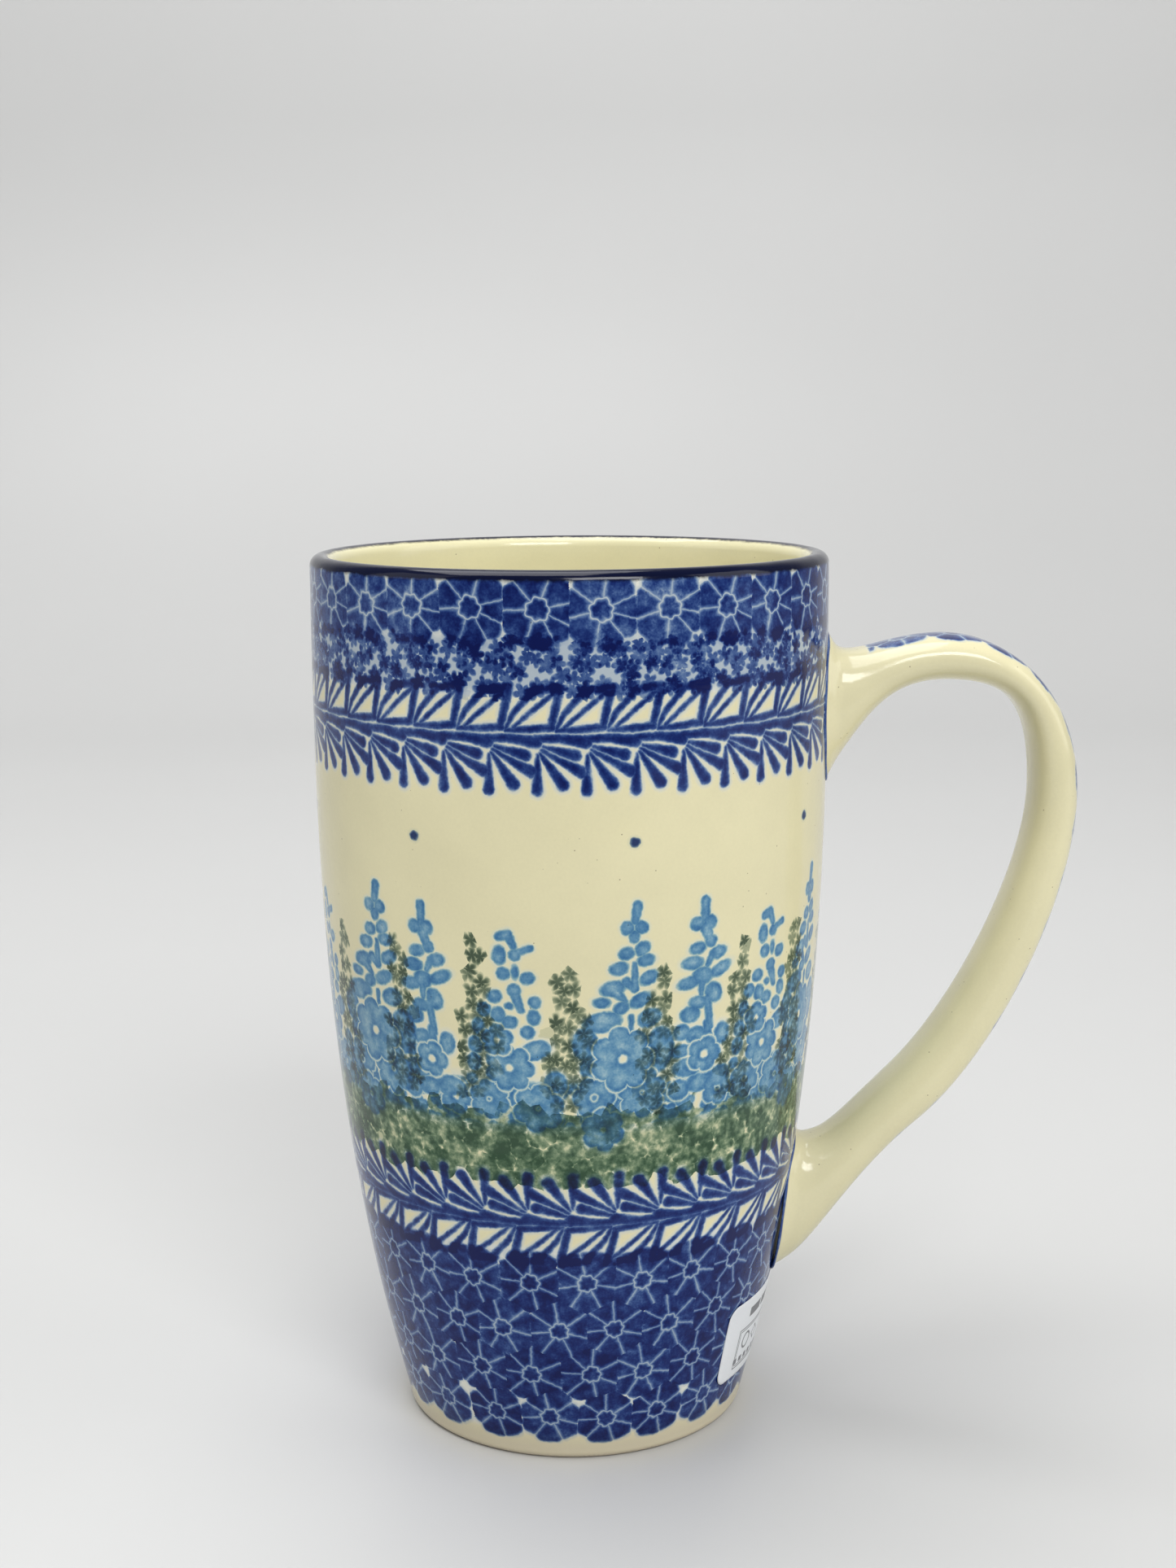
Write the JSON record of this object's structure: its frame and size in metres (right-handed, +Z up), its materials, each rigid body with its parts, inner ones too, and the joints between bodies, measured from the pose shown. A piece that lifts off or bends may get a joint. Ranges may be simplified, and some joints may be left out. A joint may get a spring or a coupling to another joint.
{
  "type": "stoneware mug",
  "caption": "Tall glazed stoneware mug, flared up from a narrow foot, with a pulled strap handle and sponge-stamped blue flower decoration.",
  "frame": {"origin": "on the cup's axis, in the plane that the foot ring rests on", "axes": "+Z up the cup towards the mouth, +X towards the handle, +Y completes the right-handed frame"},
  "size_m": [0.1271, 0.0852, 0.146],
  "materials": {
    "cup_glaze": "clear glossy glaze over sponge-stamped cobalt blue, light blue and green on cream",
    "handle_glaze": "clear glossy glaze over cream, with a stamped cobalt strip along the back",
    "slip": "fired slip under glaze, edged with a brushed cobalt line",
    "label_paper": null
  },
  "bodies": {
    "root": {"cup_body": "cup_glaze", "handle": "handle_glaze", "upper_slip_joint": "slip", "lower_slip_joint": "slip", "paper_label": "label_paper"}
  },
  "joints": []
}
